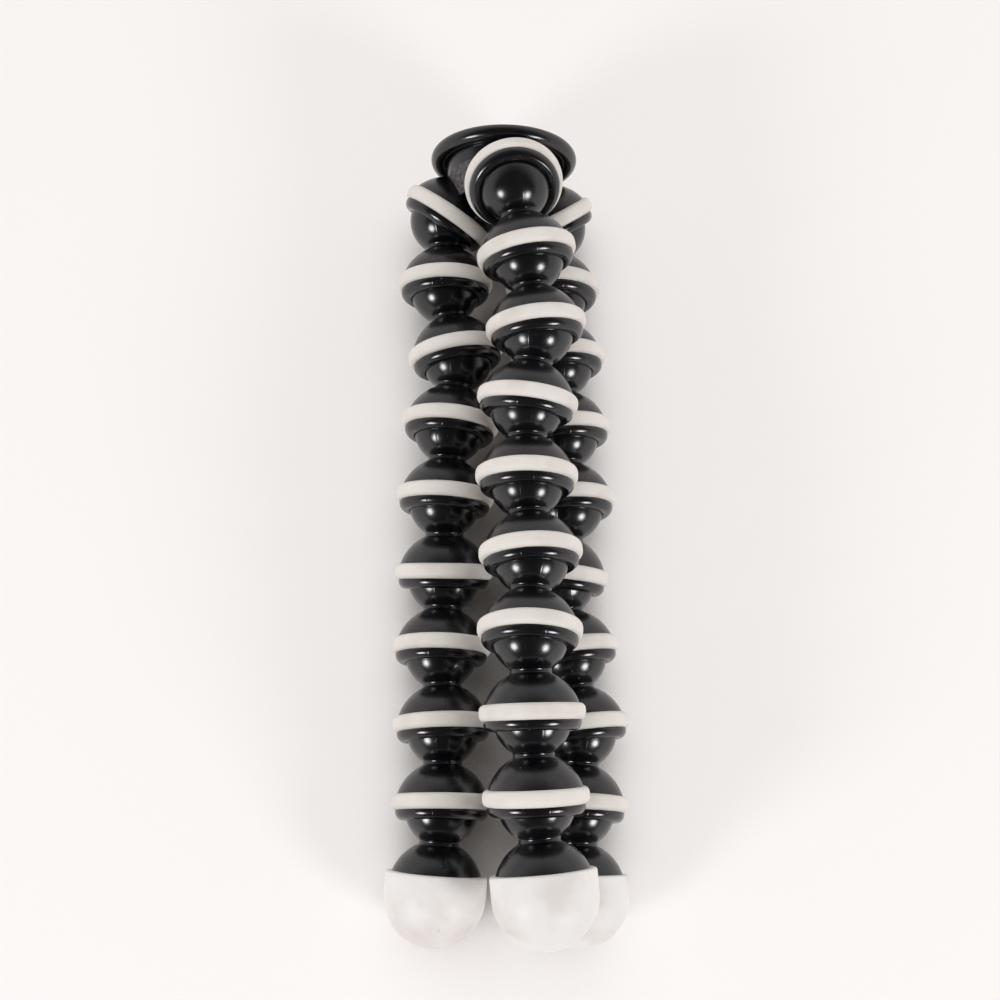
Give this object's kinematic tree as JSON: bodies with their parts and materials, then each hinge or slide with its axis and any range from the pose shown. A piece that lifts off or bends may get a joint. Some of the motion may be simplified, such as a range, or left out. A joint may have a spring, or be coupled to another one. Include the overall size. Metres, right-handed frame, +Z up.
{
  "type": "flexible leg tripod",
  "caption": "Small camera tripod with bendable ball-jointed legs, rubber grip rings, rounded rubber feet and a dished camera plate with a threaded stud.",
  "frame": {"origin": "on the table under the middle of the folded tripod's bounding box", "axes": "+Z up from the table, +Y along the folded legs from the feet to the camera plate, +X to the right in the picture"},
  "size_m": [0.0726, 0.25, 0.0667],
  "materials": {
    "black_plastic": "polished mouldings with fine scuffs",
    "grip_rubber": "matt light grey",
    "foot_rubber": "satin off-white, faintly stained",
    "pad_rubber": "matt, ribbed",
    "screw_steel": "bright zinc plate"
  },
  "bodies": {
    "head": {"hub": "black_plastic", "hub_rings": "grip_rubber", "camera_plate": "black_plastic", "plate_pad": "pad_rubber", "camera_screw": "screw_steel", "hub_screw": "screw_steel"},
    "front_segment_1": {"front_link_1": "black_plastic", "front_ring_1": "grip_rubber"},
    "front_segment_2": {"front_link_2": "black_plastic", "front_ring_2": "grip_rubber"},
    "front_segment_3": {"front_link_3": "black_plastic", "front_ring_3": "grip_rubber"},
    "front_segment_4": {"front_link_4": "black_plastic", "front_ring_4": "grip_rubber"},
    "front_segment_5": {"front_link_5": "black_plastic", "front_ring_5": "grip_rubber"},
    "front_segment_6": {"front_link_6": "black_plastic", "front_ring_6": "grip_rubber"},
    "front_segment_7": {"front_link_7": "black_plastic", "front_ring_7": "grip_rubber"},
    "front_segment_8": {"front_link_8": "black_plastic", "front_ring_8": "grip_rubber"},
    "front_tip": {"front_foot": "black_plastic", "front_foot_cap": "foot_rubber"},
    "left_segment_1": {"left_link_1": "black_plastic", "left_ring_1": "grip_rubber"},
    "left_segment_2": {"left_link_2": "black_plastic", "left_ring_2": "grip_rubber"},
    "left_segment_3": {"left_link_3": "black_plastic", "left_ring_3": "grip_rubber"},
    "left_segment_4": {"left_link_4": "black_plastic", "left_ring_4": "grip_rubber"},
    "left_segment_5": {"left_link_5": "black_plastic", "left_ring_5": "grip_rubber"},
    "left_segment_6": {"left_link_6": "black_plastic", "left_ring_6": "grip_rubber"},
    "left_segment_7": {"left_link_7": "black_plastic", "left_ring_7": "grip_rubber"},
    "left_segment_8": {"left_link_8": "black_plastic", "left_ring_8": "grip_rubber"},
    "left_tip": {"left_foot": "black_plastic", "left_foot_cap": "foot_rubber"},
    "right_segment_1": {"right_link_1": "black_plastic", "right_ring_1": "grip_rubber"},
    "right_segment_2": {"right_link_2": "black_plastic", "right_ring_2": "grip_rubber"},
    "right_segment_3": {"right_link_3": "black_plastic", "right_ring_3": "grip_rubber"},
    "right_segment_4": {"right_link_4": "black_plastic", "right_ring_4": "grip_rubber"},
    "right_segment_5": {"right_link_5": "black_plastic", "right_ring_5": "grip_rubber"},
    "right_segment_6": {"right_link_6": "black_plastic", "right_ring_6": "grip_rubber"},
    "right_segment_7": {"right_link_7": "black_plastic", "right_ring_7": "grip_rubber"},
    "right_segment_8": {"right_link_8": "black_plastic", "right_ring_8": "grip_rubber"},
    "right_tip": {"right_foot": "black_plastic", "right_foot_cap": "foot_rubber"}
  },
  "joints": [
    {"name": "front_ball_1", "type": "hinge", "parent": "head", "child": "front_segment_1", "pos_m": [0.00015, 0.09934, 0.04799], "axis": [-0.9903, 0, 0.1392], "range_deg": [0, 72]},
    {"name": "front_ball_2", "type": "hinge", "parent": "front_segment_1", "child": "front_segment_2", "pos_m": [0.00417, 0.07654, 0.04759], "axis": [-0.848, 0, -0.5299], "range_deg": [0, 36]},
    {"name": "front_ball_3", "type": "hinge", "parent": "front_segment_2", "child": "front_segment_3", "pos_m": [0.00699, 0.05357, 0.04718], "axis": [0.6691, 0, -0.7431], "range_deg": [-48, 0]},
    {"name": "front_ball_4", "type": "hinge", "parent": "front_segment_3", "child": "front_segment_4", "pos_m": [0.00417, 0.03062, 0.04597], "axis": [-0.848, 0, -0.5299], "range_deg": [0, 36]},
    {"name": "front_ball_5", "type": "hinge", "parent": "front_segment_4", "child": "front_segment_5", "pos_m": [0.00417, 0.00748, 0.04678], "axis": [0.6691, 0, -0.7431], "range_deg": [-33, 0]},
    {"name": "front_ball_6", "type": "hinge", "parent": "front_segment_5", "child": "front_segment_6", "pos_m": [0.00538, -0.01555, 0.04879], "axis": [-0.848, 0, -0.5299], "range_deg": [0, 33]},
    {"name": "front_ball_7", "type": "hinge", "parent": "front_segment_6", "child": "front_segment_7", "pos_m": [0.00498, -0.03848, 0.05202], "axis": [0.6691, 0, -0.7431], "range_deg": [-42, 0]},
    {"name": "front_ball_8", "type": "hinge", "parent": "front_segment_7", "child": "front_segment_8", "pos_m": [0.00579, -0.06156, 0.0504], "axis": [-0.848, 0, -0.5299], "range_deg": [0, 40]},
    {"name": "front_ball_9", "type": "hinge", "parent": "front_segment_8", "child": "front_tip", "pos_m": [0.00699, -0.08455, 0.04798], "axis": [0.6691, 0, -0.7431], "range_deg": [-34, 0]},
    {"name": "left_ball_1", "type": "hinge", "parent": "head", "child": "left_segment_1", "pos_m": [-0.02117, 0.09934, 0.02069], "axis": [0.3746, 0, -0.9272], "range_deg": [0, 74]},
    {"name": "left_ball_2", "type": "hinge", "parent": "left_segment_1", "child": "left_segment_2", "pos_m": [-0.02077, 0.07619, 0.02029], "axis": [0.8829, 0, -0.4695], "range_deg": [0, 42]},
    {"name": "left_ball_3", "type": "hinge", "parent": "left_segment_2", "child": "left_segment_3", "pos_m": [-0.01675, 0.05339, 0.02029], "axis": [0.309, 0, 0.9511], "range_deg": [-23, 0]},
    {"name": "left_ball_4", "type": "hinge", "parent": "left_segment_3", "child": "left_segment_4", "pos_m": [-0.01877, 0.03033, 0.02069], "axis": [0.8829, 0, -0.4695], "range_deg": [0, 36]},
    {"name": "left_ball_5", "type": "hinge", "parent": "left_segment_4", "child": "left_segment_5", "pos_m": [-0.01998, 0.00722, 0.01988], "axis": [0.309, 0, 0.9511], "range_deg": [-42, 0]},
    {"name": "left_ball_6", "type": "hinge", "parent": "left_segment_5", "child": "left_segment_6", "pos_m": [-0.01998, -0.01564, 0.01626], "axis": [0.8829, 0, -0.4695], "range_deg": [0, 45]},
    {"name": "left_ball_7", "type": "hinge", "parent": "left_segment_6", "child": "left_segment_7", "pos_m": [-0.02038, -0.03879, 0.01667], "axis": [0.309, 0, 0.9511], "range_deg": [-40, 0]},
    {"name": "left_ball_8", "type": "hinge", "parent": "left_segment_7", "child": "left_segment_8", "pos_m": [-0.01957, -0.06192, 0.01707], "axis": [0.8829, 0, -0.4695], "range_deg": [0, 36]},
    {"name": "left_ball_9", "type": "hinge", "parent": "left_segment_8", "child": "left_tip", "pos_m": [-0.01957, -0.08507, 0.01707], "axis": [0.309, 0, 0.9511], "range_deg": [-35, 0]},
    {"name": "right_ball_1", "type": "hinge", "parent": "head", "child": "right_segment_1", "pos_m": [0.01313, 0.09934, 0.01587], "axis": [0.6157, 0, 0.788], "range_deg": [0, 74]},
    {"name": "right_ball_2", "type": "hinge", "parent": "right_segment_1", "child": "right_segment_2", "pos_m": [0.01353, 0.07622, 0.01708], "axis": [-0.0349, 0, 0.9994], "range_deg": [0, 34]},
    {"name": "right_ball_3", "type": "hinge", "parent": "right_segment_2", "child": "right_segment_3", "pos_m": [0.01515, 0.05312, 0.01708], "axis": [-0.9781, 0, -0.2079], "range_deg": [-37, 0]},
    {"name": "right_ball_4", "type": "hinge", "parent": "right_segment_3", "child": "right_segment_4", "pos_m": [0.01676, 0.03003, 0.01668], "axis": [-0.0349, 0, 0.9994], "range_deg": [0, 38]},
    {"name": "right_ball_5", "type": "hinge", "parent": "right_segment_4", "child": "right_segment_5", "pos_m": [0.01797, 0.00693, 0.01749], "axis": [-0.9781, 0, -0.2079], "range_deg": [-31, 0]},
    {"name": "right_ball_6", "type": "hinge", "parent": "right_segment_5", "child": "right_segment_6", "pos_m": [0.01556, -0.01601, 0.01547], "axis": [-0.0349, 0, 0.9994], "range_deg": [0, 23]},
    {"name": "right_ball_7", "type": "hinge", "parent": "right_segment_6", "child": "right_segment_7", "pos_m": [0.01878, -0.03894, 0.01547], "axis": [-0.9781, 0, -0.2079], "range_deg": [-38, 0]},
    {"name": "right_ball_8", "type": "hinge", "parent": "right_segment_7", "child": "right_segment_8", "pos_m": [0.02161, -0.06192, 0.01547], "axis": [-0.0349, 0, 0.9994], "range_deg": [0, 46]},
    {"name": "right_ball_9", "type": "hinge", "parent": "right_segment_8", "child": "right_tip", "pos_m": [0.0208, -0.08505, 0.01587], "axis": [-0.9781, 0, -0.2079], "range_deg": [-34, 0]}
  ]
}
